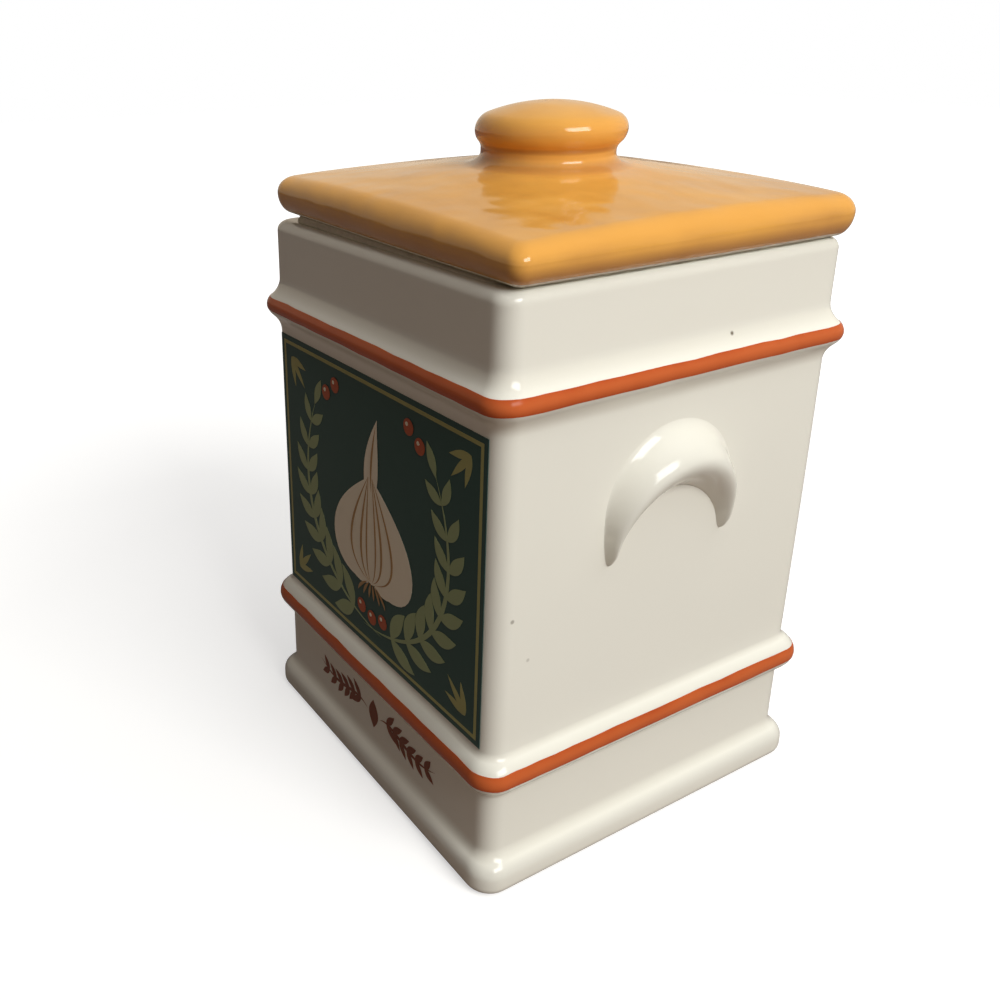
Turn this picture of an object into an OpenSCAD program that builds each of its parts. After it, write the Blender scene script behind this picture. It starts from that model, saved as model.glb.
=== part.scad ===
// Square ceramic spice jar with moulded beads, two lug handles and a lift-off lid.
// Millimetres, +Z up. The origin is the middle of the foot, and the printed panel faces -Y.

/* [Jar wall] */
// Width across the flat panels
panel_w = 56; // [44:1:80]
// Height from the table to the top of the rim
rim_z = 80.8; // [76:0.2:120]
// Radius of the upright corners
corner_r = 1.8; // [1.6:0.1:3]
// Thickness of the wall behind the panels
wall = 3.4; // [3:0.1:5]
// Radius of the rim's outer edge
rim_r = 1.5; // [0.8:0.1:1.5]
// Radius of the rim's inner edge
rim_inner_r = 0.9; // [0.4:0.1:1.2]
// Radius of the upright corners inside
cavity_r = 3.5; // [3:0.1:6]
// Radius between the floor and the walls inside
floor_r = 2.5; // [1:0.1:3]
// Height of the floor above the table
floor_z = 4.6; // [3.6:0.1:9]

/* [Foot] */
// How far the foot stands out from the panels
foot_out = 1.8; // [1:0.1:3]
// Height of the foot's widest line
foot_z = 2.7; // [2:0.1:4]
// Radius of the foot's bottom edge
foot_low_r = 1.5; // [0.5:0.1:1.9]
// Radius of the foot's shoulder
foot_round_r = 2.3; // [1.6:0.1:2.6]
// Radius of the cove above the foot
foot_cove_r = 2.1; // [1:0.1:3]
// Width of the bare ring that the jar stands on
foot_ring_w = 5; // [3:0.5:8]
// Depth of the hollow inside that ring
foot_hollow = 1.2; // [0.5:0.1:2]

/* [Lower bead] */
// Height of the lower bead's crest
lower_z = 18.1; // [16:0.1:24]
// How far the lower bead stands out
lower_out = 1.87; // [1.2:0.01:2.6]
// Radius of its round crest
lower_r = 2.8; // [2:0.1:3.4]
// Radius of the cove above it
lower_cove_up = 1.3; // [0.6:0.1:3]
// Radius of the cove below it
lower_cove_down = 1.5; // [0.6:0.1:3]
// Enamel line: reach above the crest
lower_band_up = 1.35; // [0.4:0.05:2]
// Enamel line: reach below the crest
lower_band_down = 0.75; // [0.4:0.05:2]

/* [Upper bead] */
// Height of the collar, from the upper bead's crest to the rim
collar_h = 12.7; // [9:0.1:20]
// How far the upper bead stands out
upper_out = 1.78; // [1.2:0.01:2.6]
// Radius of its round crest
upper_r = 2; // [1.4:0.1:3]
// Radius of the cove above it
upper_cove_up = 3.8; // [1:0.1:4.5]
// Radius of the cove below it
upper_cove_down = 3.4; // [1:0.1:4]
// Enamel line: reach above the crest
upper_band_up = 1.25; // [0.2:0.05:1.4]
// Enamel line: reach below the crest
upper_band_down = 0.7; // [0.2:0.05:1.4]

/* [Enamel and transfers] */
// Thickness of the fired enamel lines
enamel_t = 0.25; // [0.15:0.05:0.4]
// Thickness of a transfer
decal_t = 0.12; // [0.1:0.02:0.3]
// Clearance between a transfer and the wall that it lies on
decal_gap = 0.03; // [0.01:0.01:0.05]
// Bare edge round the front transfer, on the flat of the panel
decal_edge = 0.2; // [0:0.1:6]
// Bare edge at the sides of the transfer on the plinth
plinth_decal_side = 9; // [4:0.5:16]
// Bare edge above and below it
plinth_decal_edge = 1.2; // [0.2:0.1:3]

/* [Lug handles] */
// Bare wall between the lug and the upper bead
lug_gap = 2.6; // [1:0.1:8]
// How far the lugs lie from the middle of the wall, towards the printed front
lug_aside = 0.4; // [0:0.1:4]
// Radius of the lug's outer circle on the wall
lug_outer_r = 11.1; // [10.8:0.1:13]
// Half height of the ellipse that the outside of the legs follows below that circle
lug_leg_h = 18; // [16:0.5:24]
// How far the legs reach below the outer circle's centre
lug_legs = 6.8; // [5:0.1:7.5]
// Radius of the finger hollow's circle on the wall
lug_inner_r = 9.7; // [8:0.1:9.8]
// How far the hollow's circle lies below the outer one
lug_drop = 8.1; // [7.5:0.1:9]
// Width of the legs' blunt ends
lug_tip_w = 1.5; // [1:0.1:2.5]
// How far the lug stands out from the wall at the top of its arch
lug_out = 4; // [2.5:0.1:6]
// How far the legs' ends stand out
lug_tip_out = 1.1; // [0.5:0.1:2]
// Share of the lug's width where its ridge lies, from the hollow
lug_ridge = 0.45; // [0.35:0.01:0.6]

/* [Lid plate] */
// How far the lid reaches past the panels
lid_overhang = 1.5; // [0.5:0.1:2]
// Radius of the lid's corners
lid_r = 6.2; // [4:0.1:8]
// Height of the seat that holds the plate off the rim
lid_seat = 1.2; // [0.6:0.1:2]
// How far the seat's side lies in from the panels
lid_seat_in = 1.4; // [1:0.1:2.2]
// Height of the plate's edge
lid_h = 5.3; // [5.1:0.1:8]
// Radius of the edge's lower half
lid_low_r = 2.2; // [1:0.1:2.4]
// Radius of the edge's upper half
lid_high_r = 2.9; // [1.5:0.1:3.1]
// How far the top swells between edge and middle
lid_crown = 1; // [0.5:0.1:2]
// Thickness of the plate over the hollow below
lid_t = 4.6; // [3.5:0.1:6]

/* [Lid knob] */
// Width of the knob
knob_w = 20.7; // [18:0.1:28]
// Width of the knob's neck
knob_neck_w = 18.1; // [12:0.1:20]
// Height of the knob's widest line above the lid's edge
knob_z = 6.6; // [6:0.1:9]
// Height of the knob's top above its widest line
knob_dome = 3.8; // [3:0.1:6]
// Radius of the knob's edge
knob_edge_r = 2.2; // [1:0.1:2.2]
// Radius of the hollow under that edge
knob_neck_cove = 1.5; // [0.5:0.05:1.5]
// Radius of the fillet where the neck meets the plate
knob_foot_cove = 2.2; // [1:0.1:2.6]

/* [Lid plug and seal] */
// How far the plug reaches into the jar
plug_depth = 9; // [7:0.5:14]
// Gap between the plug and the wall
plug_gap = 1.2; // [0.8:0.1:1.6]
// Thickness of the plug's wall
plug_wall = 3.2; // [2.6:0.1:5]
// Radius of the plug's lower edge
plug_r = 1; // [0.4:0.1:1.4]
// Radius of the corners of the plug's hollow
plug_hollow_r = 3; // [1:0.5:6]
// Height of the seal
seal_h = 4.5; // [3:0.1:5]
// Depth of the groove that holds the seal
seal_groove = 0.9; // [0.5:0.1:1.2]
// Number of lips on the seal
seal_lips = 3; // [2:1:4]
// Gap between the lips and the wall
seal_gap = 0.3; // [0.2:0.05:0.5]

/* [Hidden] */
$fn = 96;

panel_half = panel_w / 2;
cavity_half = panel_half - wall;
foot_half = panel_half + foot_out;
lid_half = panel_half + lid_overhang;
upper_z = rim_z - collar_h;
plate_z = rim_z + lid_seat;
lid_top = plate_z + lid_h;
seat_half = panel_half - lid_seat_in;
plug_bottom = rim_z - plug_depth;
hollow_half = cavity_half - plug_gap - plug_wall;
// Overlap that lets one piece of a solid run into the next
bite = 0.5;
// Longer than anything here, for cutting shapes
reach = 2 * (rim_z + panel_w);

// Height between the crest of a round and the end of its cove, from both radii together
function cove_rise(out, radii) = sqrt(2 * radii * out - out * out);
foot_top = foot_z + cove_rise(foot_out, foot_round_r + foot_cove_r);
lower_bottom = lower_z - cove_rise(lower_out, lower_r + lower_cove_down);
lower_top = lower_z + cove_rise(lower_out, lower_r + lower_cove_up);
upper_bottom = upper_z - cove_rise(upper_out, upper_r + upper_cove_down);
lug_z = upper_bottom - lug_gap - lug_outer_r;

// The lid's top is a shallow spherical cap that meets the edge half way along each side
crown_span = lid_half - lid_high_r;
crown_r = (crown_span * crown_span + lid_crown * lid_crown) / (2 * lid_crown);
crown_top = lid_top + lid_crown;
function crown_z(r) = crown_top - crown_r + sqrt(crown_r * crown_r - r * r);

// Sections: x is the distance out from an outline, y is the height

// What a round edge of radius r takes off a square corner at the origin, to its right and above
module edge_waste(r) {
    translate([-r, -r]) difference() {
        square(r + bite);
        circle(r);
    }
}

// Upper half of a round on a wall at x = 0, its crest at the origin's height, eased in by a cove
module half_moulding(out, round_r, cove_r, depth) {
    rise = cove_rise(out, round_r + cove_r);
    intersection() {
        translate([out - round_r, 0]) circle(round_r);
        translate([-depth, 0]) square([depth + out, round_r]);
    }
    difference() {
        polygon([[-depth, 0], [out - round_r, 0], [cove_r, rise], [-depth, rise]]);
        translate([cove_r, rise]) circle(cove_r);
    }
}

// Whole round on the jar's wall, with a cove above and a cove below
module bead(z, out, round_r, cove_up, cove_down) {
    up = cove_rise(out, round_r + cove_up);
    down = cove_rise(out, round_r + cove_down);
    translate([0, z]) difference() {
        union() {
            translate([out - round_r, 0]) circle(round_r);
            polygon([[-corner_r, -down], [cove_down, -down], [out - round_r, 0],
                     [cove_up, up], [-corner_r, up]]);
        }
        translate([cove_up, up]) circle(cove_up);
        translate([cove_down, -down]) circle(cove_down);
    }
}

module foot() {
    translate([0, foot_z]) half_moulding(foot_out, foot_round_r, foot_cove_r, corner_r);
    difference() {
        translate([-corner_r, 0]) square([corner_r + foot_out, foot_z]);
        translate([foot_out, 0]) mirror([0, 1]) edge_waste(foot_low_r);
    }
}

module lower_bead() {
    bead(lower_z, lower_out, lower_r, lower_cove_up, lower_cove_down);
}

module upper_bead() {
    bead(upper_z, upper_out, upper_r, upper_cove_up, upper_cove_down);
}

// Skin of a bead between two heights, as thick as the enamel
module skin(low, high) {
    difference() {
        intersection() {
            children();
            translate([0, low]) square([reach, high - low]);
        }
        translate([-enamel_t, 0]) children();
    }
}

module lower_band_section() {
    skin(lower_z - lower_band_down, lower_z + lower_band_up) lower_bead();
}

module upper_band_section() {
    skin(upper_z - upper_band_down, upper_z + upper_band_up) upper_bead();
}

// The jar's outside, with a seat for each enamel line
module wall_section() {
    difference() {
        translate([-corner_r, 0]) square([corner_r, rim_z]);
        translate([0, rim_z]) edge_waste(rim_r);
    }
    foot();
    difference() {
        lower_bead();
        lower_band_section();
    }
    difference() {
        upper_bead();
        upper_band_section();
    }
}

// The jar's inside, open upwards, with an eased floor and a round lip at the rim
module cavity_section() {
    difference() {
        translate([-cavity_r, floor_z]) square([cavity_r, reach]);
        translate([0, floor_z]) mirror([0, 1]) edge_waste(floor_r);
    }
    translate([0, rim_z - rim_inner_r]) difference() {
        square([rim_inner_r, rim_inner_r + bite]);
        translate([rim_inner_r, 0]) circle(rim_inner_r);
    }
}

module lid_edge_section() {
    difference() {
        translate([-lid_r, plate_z]) square([lid_r, lid_h]);
        translate([0, plate_z]) mirror([0, 1]) edge_waste(lid_low_r);
        translate([0, lid_top]) edge_waste(lid_high_r);
    }
    translate([-lid_r, lid_top - bite]) square([lid_r - lid_high_r, bite + lid_crown]);
}

module plug_section() {
    difference() {
        translate([-cavity_r, plug_bottom]) square([cavity_r - plug_gap, plug_depth + bite]);
        translate([-plug_gap, plug_bottom]) mirror([0, 1]) edge_waste(plug_r);
    }
}

// The seal sits half way down the plug
seal_z = rim_z - (plug_depth + seal_h) / 2;
module seal_groove_section() {
    translate([-plug_gap - seal_groove, seal_z]) square([seal_groove, seal_h]);
}

module seal_section() {
    seal_groove_section();
    lip_h = seal_h / seal_lips;
    lip_out = plug_gap - seal_gap;
    root = -seal_groove / 2;
    for (k = [0 : seal_lips - 1])
        translate([-plug_gap, seal_z + k * lip_h])
            polygon([[root, 0], [0, 0], [lip_out, lip_h / 3], [0, lip_h], [root, lip_h]]);
}

// Half of the knob and its neck, with x as the distance from its axis
module knob_section() {
    neck_r = knob_neck_w / 2;
    edge_x = knob_w / 2 - knob_edge_r;
    edge_z = lid_top + knob_z;
    top_z = edge_z + knob_dome;
    dome_r = (edge_x * edge_x + knob_dome * knob_dome - knob_edge_r * knob_edge_r)
             / (2 * (knob_dome - knob_edge_r));
    dome_z = top_z - dome_r;
    // The hollow under the edge is at least as large as the edge's overhang asks for
    lip = knob_w / 2 - neck_r;
    neck_cove = max(knob_neck_cove, lip - knob_edge_r);
    fillet_x = neck_r + knob_foot_cove;
    fillet_z = crown_z(fillet_x);
    // Dome above the edge's height, out to the line through its own centre and the edge's
    intersection() {
        translate([0, dome_z]) circle(dome_r, $fn = 4 * $fn);
        polygon([[0, edge_z], [edge_x, edge_z], [edge_x * 2, edge_z * 2 - dome_z], [0, top_z + dome_r]]);
    }
    translate([edge_x, edge_z]) circle(knob_edge_r);
    translate([0, lid_top - bite]) square([neck_r, edge_z - lid_top + bite]);
    translate([neck_r, edge_z]) mirror([0, 1])
        half_moulding(lip, knob_edge_r, neck_cove, neck_r);
    difference() {
        translate([0, fillet_z - bite]) square([fillet_x, knob_foot_cove + bite]);
        translate([fillet_x, fillet_z + knob_foot_cove]) circle(knob_foot_cove);
    }
}

// Solids

// Section as it lies from the axis of a corner of radius r, cut off at that axis
module from_corner(r) {
    intersection() {
        translate([r, 0]) children();
        translate([0, -reach]) square([reach, 3 * reach]);
    }
}

// Sweeps a section round a square of the given half width, with round corners
module sweep_square(half, r) {
    for (turn = [0 : 90 : 270]) rotate(turn) translate([half - r, half - r, 0]) {
        rotate_extrude(angle = 90) from_corner(r) children();
        rotate([90, 0, 0]) linear_extrude(2 * (half - r)) from_corner(r) children();
    }
}

// Square block from height low to height high
module block(half, low, high) {
    translate([-half, -half, low]) cube([2 * half, 2 * half, high - low]);
}

module round_block(half, r, low, high) {
    translate([0, 0, low]) linear_extrude(high - low) {
        square(2 * [half - r, half], center = true);
        square(2 * [half, half - r], center = true);
        for (x = [-1, 1], y = [-1, 1]) translate([x, y] * (half - r)) circle(r);
    }
}

module jar_body() {
    color("ivory") difference() {
        union() {
            sweep_square(panel_half, corner_r) wall_section();
            block(panel_half - corner_r, 0, rim_z);
        }
        sweep_square(cavity_half, cavity_r) cavity_section();
        block(cavity_half - cavity_r, floor_z, rim_z + bite);
        round_block(foot_half - foot_ring_w, cavity_r, -bite, foot_hollow);
    }
}

module upper_band() {
    color("orangered") sweep_square(panel_half, corner_r) upper_band_section();
}

module lower_band() {
    color("orangered") sweep_square(panel_half, corner_r) lower_band_section();
}

// Thin transfer on the front wall, from height low to height high
module transfer(half, low, high) {
    translate([-half, -panel_half - decal_gap - decal_t, low]) cube([2 * half, decal_t, high - low]);
}

module front_decal() {
    color("darkslategray")
        transfer(panel_half - corner_r - decal_edge, lower_top + decal_edge, upper_bottom - decal_edge);
}

module plinth_decal() {
    color("saddlebrown")
        transfer(panel_half - plinth_decal_side, foot_top + plinth_decal_edge,
                 lower_bottom - plinth_decal_edge);
}

// The lug is an arch lofted between two curves on the wall, which draw together down its legs.
// Each station is a hump from the inner curve, past the ridge, to the outer one.
lug_stations = 32;
lug_steps = 12;
// How soon the ridge drops down the legs: lower keeps it high for longer
lug_fall = 0.9;
outer_end = acos(-lug_legs / lug_leg_h);
inner_end = acos((lug_drop - lug_legs) / lug_inner_r);
// Hump from 0 to 1 and back: steep from the hollow, then falling softly to the wall
function hump(u) = u < lug_ridge ? sin(90 * u / lug_ridge)
                                 : (1 + cos(180 * (u - lug_ridge) / (1 - lug_ridge))) / 2;
function lug_point(t, u) =
    let (turn = t * outer_end,
         outer = [lug_outer_r * sin(turn), (cos(turn) > 0 ? lug_outer_r : lug_leg_h) * cos(turn)],
         inner = [sin(t * inner_end), cos(t * inner_end)] * lug_inner_r - [0, lug_drop],
         across = outer - inner,
         width = norm([norm(across), lug_tip_w]),
         place = (outer + inner) / 2 + across / norm(across) * width * (u - 0.5),
         rise = lug_tip_out + (lug_out - lug_tip_out) * pow(cos(90 * t), lug_fall))
    [rise * hump(u), place.x, place.y];

module lug() {
    ring = lug_steps + 1;
    points = [for (s = [0 : lug_stations], k = [0 : lug_steps])
        lug_point(2 * s / lug_stations - 1, k / lug_steps)];
    // Two triangles between neighbouring stations; the last point of a ring joins its first along the wall
    skin = [for (s = [0 : lug_stations - 1], k = [0 : lug_steps], half = [0, 1])
        let (a = s * ring + k, b = s * ring + (k + 1) % ring)
        half == 0 ? [a, a + ring, b] : [b, a + ring, b + ring]];
    ends = [for (s = [0, lug_stations], k = [1 : lug_steps - 1])
        let (first = s * ring)
        s == 0 ? [first, first + k, first + k + 1] : [first, first + k + 1, first + k]];
    polyhedron(points, concat(skin, ends));
}

module right_lug() {
    color("ivory") translate([panel_half, -lug_aside, lug_z]) lug();
}

module left_lug() {
    color("ivory") mirror([1, 0, 0]) translate([panel_half, -lug_aside, lug_z]) lug();
}

module lid() {
    color("goldenrod") difference() {
        union() {
            intersection() {
                union() {
                    sweep_square(lid_half, lid_r) lid_edge_section();
                    block(lid_half - lid_r, plate_z, crown_top);
                }
                rotate_extrude() intersection() {
                    translate([0, crown_top - crown_r]) circle(crown_r, $fn = 8 * $fn);
                    translate([0, plate_z]) square([2 * lid_half, lid_h + 2 * lid_crown]);
                }
            }
            rotate_extrude() knob_section();
            round_block(seat_half, cavity_r + seat_half - cavity_half, rim_z, plate_z + bite);
            sweep_square(cavity_half, cavity_r) plug_section();
            block(cavity_half - cavity_r, plug_bottom, rim_z + bite);
        }
        round_block(hollow_half, plug_hollow_r, plug_bottom - bite, lid_top - lid_t);
        sweep_square(cavity_half, cavity_r) seal_groove_section();
    }
}

module lid_seal() {
    color("gainsboro") sweep_square(cavity_half, cavity_r) seal_section();
}

jar_body();
right_lug();
left_lug();
upper_band();
lower_band();
front_decal();
plinth_decal();
lid();
lid_seal();
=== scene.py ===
import math

import bmesh
import bpy
from mathutils import Matrix, Vector, noise


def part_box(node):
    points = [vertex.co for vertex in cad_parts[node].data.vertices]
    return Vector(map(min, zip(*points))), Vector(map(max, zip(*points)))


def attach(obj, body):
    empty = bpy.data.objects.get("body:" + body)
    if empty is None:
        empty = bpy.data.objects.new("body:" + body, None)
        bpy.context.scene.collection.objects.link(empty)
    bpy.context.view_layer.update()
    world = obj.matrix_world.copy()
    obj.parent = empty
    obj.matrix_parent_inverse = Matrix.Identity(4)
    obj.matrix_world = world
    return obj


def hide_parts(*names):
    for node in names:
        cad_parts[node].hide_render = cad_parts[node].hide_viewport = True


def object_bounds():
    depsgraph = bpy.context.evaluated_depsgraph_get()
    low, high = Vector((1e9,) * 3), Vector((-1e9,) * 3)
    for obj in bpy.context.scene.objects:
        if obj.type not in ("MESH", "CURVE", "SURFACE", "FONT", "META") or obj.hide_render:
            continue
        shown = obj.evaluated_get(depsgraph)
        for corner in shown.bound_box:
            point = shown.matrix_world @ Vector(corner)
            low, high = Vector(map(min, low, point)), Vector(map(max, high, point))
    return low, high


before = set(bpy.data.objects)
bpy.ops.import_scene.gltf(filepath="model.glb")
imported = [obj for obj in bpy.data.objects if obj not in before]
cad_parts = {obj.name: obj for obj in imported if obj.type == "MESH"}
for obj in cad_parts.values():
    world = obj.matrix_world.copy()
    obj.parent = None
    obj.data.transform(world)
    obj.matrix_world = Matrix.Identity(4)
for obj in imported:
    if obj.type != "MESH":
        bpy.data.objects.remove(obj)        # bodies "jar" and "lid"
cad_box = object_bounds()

# Camera
# It stands off the near corner, right of the printed front and a little above the lid, and
# so close that the jar narrows towards its foot. The picture is square.
MM = 0.001
picture_px = 1000
focal_px = 1017.5
axis_px = (360.7, 418.1)
camera_place = Vector((109.52, -92.98, 106.74)) * MM
camera_turn = math.radians(59.89)
camera_drop = math.radians(20.90)
camera_roll = math.radians(-0.95)

scene = bpy.context.scene
scene.view_settings.view_transform = "Standard"
lens = bpy.data.cameras.new("camera")
lens.sensor_width = 36
lens.lens = lens.sensor_width * focal_px / picture_px
lens.shift_x = 0.5 - axis_px[0] / picture_px
lens.shift_y = axis_px[1] / picture_px - 0.5
lens.clip_start = 0.01
camera = bpy.data.objects.new("camera", lens)
aim = Matrix.Rotation(camera_turn, 4, "Z") @ Matrix.Rotation(math.pi / 2 - camera_drop, 4, "X")
camera.matrix_world = Matrix.Translation(camera_place) @ aim @ Matrix.Rotation(camera_roll, 4, "Z")
scene.collection.objects.link(camera)
scene.camera = camera


# Studio
# A white floor that runs out into a white room. A soft lamp stands off the right lug, a larger
# one hangs over the jar from behind it on that side, and the printed front gets a weak, warmer
# one and the room's light.
floor_reach = 1.3
floor_rough = 0.9
floor_paint = (0.62, 0.62, 0.61, 1)
floor_bounce = (0.26, 0.195, 0.16, 1)
floor_glow = (0.58, 1.0)
floor_glow_span = (0.10, 0.40)
room_light = (0.045, 0.035, 0.027, 1)
WHITE = (1, 1, 1, 1)
# The room and the share of the floor that show in a glaze
room_mirrored = (0.78, 0.67, 0.53, 1)
floor_mirrored = 0.12


def node(tree, kind, sockets=None, **settings):
    """Adds a shader node. Each socket named takes a plain value or another node's output."""
    made = tree.nodes.new("ShaderNode" + kind)
    for key, value in settings.items():
        setattr(made, key, value)
    for key, value in (sockets or {}).items():
        if isinstance(value, bpy.types.NodeSocket):
            tree.links.new(value, made.inputs[key])
        else:
            made.inputs[key].default_value = value
    return made


def math_node(tree, operation, *values, clamp=False):
    """Output of a Math node whose inputs are the given values or outputs, in order."""
    return node(tree, "Math", dict(enumerate(values)), operation=operation, use_clamp=clamp).outputs[0]


def mixed(tree, share, below, above):
    """Output of a node that lays one colour over another by the given share."""
    return node(tree, "Mix", {0: share, 6: below, 7: above}, data_type="RGBA").outputs[2]


def rays(tree):
    """Two marks: for rays from the camera or through glass, and for mirrored ones."""
    path = node(tree, "LightPath").outputs
    straight_on = math_node(tree, "MAXIMUM", path["Is Camera Ray"], path["Is Transmission Ray"])
    return straight_on, path["Is Glossy Ray"]


floor_mesh = bmesh.new()
bmesh.ops.create_grid(floor_mesh, x_segments=4, y_segments=4, size=floor_reach)
floor_data = bpy.data.meshes.new("floor")
floor_mesh.to_mesh(floor_data)
floor_mesh.free()
floor = bpy.data.objects.new("floor", floor_data)
scene.collection.objects.link(floor)
floor_finish = bpy.data.materials.new("floor_paint")
floor_finish.use_nodes = True
tree = floor_finish.node_tree
paint = tree.nodes["Principled BSDF"]
paint.inputs["Roughness"].default_value = floor_rough
paint.inputs["Specular IOR Level"].default_value = 0
paint.inputs["Emission Color"].default_value = WHITE
straight_on, mirrored = rays(tree)
seen = math_node(tree, "MAXIMUM", straight_on, math_node(tree, "MULTIPLY", mirrored, floor_mirrored))
tree.links.new(mixed(tree, seen, floor_bounce, floor_paint), paint.inputs["Base Color"])
from_jar = node(tree, "VectorMath", {0: node(tree, "TexCoord").outputs["Object"]}, operation="LENGTH")
spread = node(tree, "MapRange", {0: from_jar.outputs["Value"],
                                 1: floor_glow_span[0], 2: floor_glow_span[1],
                                 3: floor_glow[0], 4: floor_glow[1]})
glow = math_node(tree, "MULTIPLY", seen, spread.outputs[0])
tree.links.new(glow, paint.inputs["Emission Strength"])
floor_data.materials.append(floor_finish)

room = bpy.data.worlds.new("room")
room.use_nodes = True
scene.world = room
tree = room.node_tree
straight_on, mirrored = rays(tree)
around_jar = mixed(tree, mirrored, room_light, room_mirrored)
room_paint = mixed(tree, straight_on, around_jar, WHITE)
tree.links.new(room_paint, tree.nodes["Background"].inputs["Color"])


def area_lamp(name, turn, rise, distance, size, power, colour, mirrored=False):
    """A soft lamp that faces the middle of the jar. Turn runs from front to right, in degrees."""
    light = bpy.data.lights.new(name, "AREA")
    light.shape = "RECTANGLE"
    light.size, light.size_y = size
    light.energy = power
    light.color = colour
    lamp = bpy.data.objects.new(name, light)
    heading = Matrix.Rotation(math.radians(turn), 3, "Z") @ Matrix.Rotation(math.radians(-rise), 3, "X")
    way = heading @ Vector((0, -1, 0))
    middle = (cad_box[0] + cad_box[1]) / 2
    facing = way.to_track_quat("Z", "Y").to_matrix().to_4x4()
    lamp.matrix_world = Matrix.Translation(middle + way * distance) @ facing
    lamp.visible_glossy = mirrored
    scene.collection.objects.link(lamp)


area_lamp("key_lamp", 95, 35, 0.75, size=(0.4, 0.3), power=4.15, colour=(1, 1, 0.98), mirrored=True)
area_lamp("top_lamp", 122, 64, 0.9, size=(1.0, 1.0), power=5.3, colour=(1, 1, 0.99))
area_lamp("front_lamp", 12, 55, 0.8, size=(0.7, 0.5), power=0.21, colour=(1, 0.84, 0.77))


# Jar
# A slip-cast earthenware jar in one piece: foot, plinth, two beads, panels, collar and rim.
# It is glazed off-white inside and out, but for the ring it stands on, which is wiped bare.
panel_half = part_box("right_lug")[0].x / MM
rim_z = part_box("jar_body")[1].z / MM
corner_r = 2.6
corner_growth = 0.5
wall = 3.4
rim_r = 1.5
lip_r = 0.9
inside_r = 3.5
inside_floor_r = 2.5
inside_floor_z = 4.6
foot_out = 1.8
foot_z = 2.7
foot_low_r = 1.5
foot_round_r = 2.3
foot_cove_r = 2.1
foot_ring_w = 5
foot_hollow = 1.2
lower_z = 18.1
lower_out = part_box("lower_band")[1].x / MM - panel_half
lower_round = (2.8, 1.5, 1.3)
upper_z = 68.1
upper_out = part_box("upper_band")[1].x / MM - panel_half
upper_round = (2, 3.4, 3.8)
# Firing bends the walls slowly by about this much, less upright, and not at all at the foot.
# The seed gives every run the same bends.
bend_pull = 0.16
bend_span = 42
bend_upright = 0.5
bend_full_z = 12
jar_bend = Vector((3.1, 7.7, 1.3))
bend_seed = 1
noise.seed_set(bend_seed)
# Vertices closer than this are one
weld = 0.001
# Depth of the glaze: it runs thin over rounds and pools in coves. The white glaze's thin colour and the
# amber glaze's pooled colour are in part painted shade.
THIN, EVEN, POOLED = 0, 0.5, 1


def arc(x, z, radius, start, end, glaze=EVEN, steps=8):
    """Points (out, height, glaze depth) of a section along an arc, its angles in degrees."""
    points = []
    for k in range(steps + 1):
        angle = math.radians(start + (end - start) * k / steps)
        depth = EVEN + (glaze - EVEN) * math.sin(math.pi * k / steps)
        points.append((x + radius * math.cos(angle), z + radius * math.sin(angle), depth))
    return points


def straight(start, end, steps=8):
    """Points between two points of a section, closer together towards both ends."""
    run, rise = end[0] - start[0], end[1] - start[1]
    shares = [(1 - math.cos(math.pi * k / steps)) / 2 for k in range(1, steps)]
    return [(start[0] + run * s, start[1] + rise * s, EVEN) for s in shares]


def lean(out, round_r, cove_r):
    """Angle above level, in degrees, of the line from a round's centre to its cove's centre."""
    return math.degrees(math.acos(1 - out / (round_r + cove_r)))


def upper_half(out, z, round_r, cove_r, start=0):
    """Section of a round from its crest up, and of the cove that eases it into the wall."""
    tilt = lean(out, round_r, cove_r)
    cove_z = z + (round_r + cove_r) * math.sin(math.radians(tilt))
    over = arc(out - round_r, z, round_r, start, tilt, THIN)
    return over + arc(cove_r, cove_z, cove_r, 180 + tilt, 180, POOLED)[1:]


def bead(out, z, round_r, cove_low, cove_high):
    """Section of a bead: a cove, the round and a cove, from below."""
    tilt = lean(out, round_r, cove_low)
    cove_z = z - (round_r + cove_low) * math.sin(math.radians(tilt))
    under = arc(cove_low, cove_z, cove_low, 180, 180 - tilt, POOLED)
    return under[:-1] + upper_half(out, z, round_r, cove_high, -tilt)


def joined(*stretches):
    """One section from several, with straight runs between the end of one and the start of the next."""
    points = list(stretches[0])
    for stretch in stretches[1:]:
        points += straight(points[-1], stretch[0])
        points += stretch
    return points


def ring(half, corner, z, side_steps=20, corner_steps=8):
    """Points round a square with round corners, closer together towards the corners."""
    flat = half - corner
    quarter = [Vector((half, -flat * math.cos(math.pi * k / side_steps), z)) for k in range(side_steps)]
    for k in range(corner_steps):
        angle = math.pi / 2 * k / corner_steps
        quarter.append(Vector((flat + corner * math.cos(angle), flat + corner * math.sin(angle), z)))
    turns = [Matrix.Rotation(math.pi / 2 * k, 3, "Z") for k in range(4)]
    return [turn @ point for turn in turns for point in quarter]


def around(out, z):
    """Ring of points round the jar at a distance out from its wall."""
    return ring(panel_half + out, corner_r + corner_growth * out, z)


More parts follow.
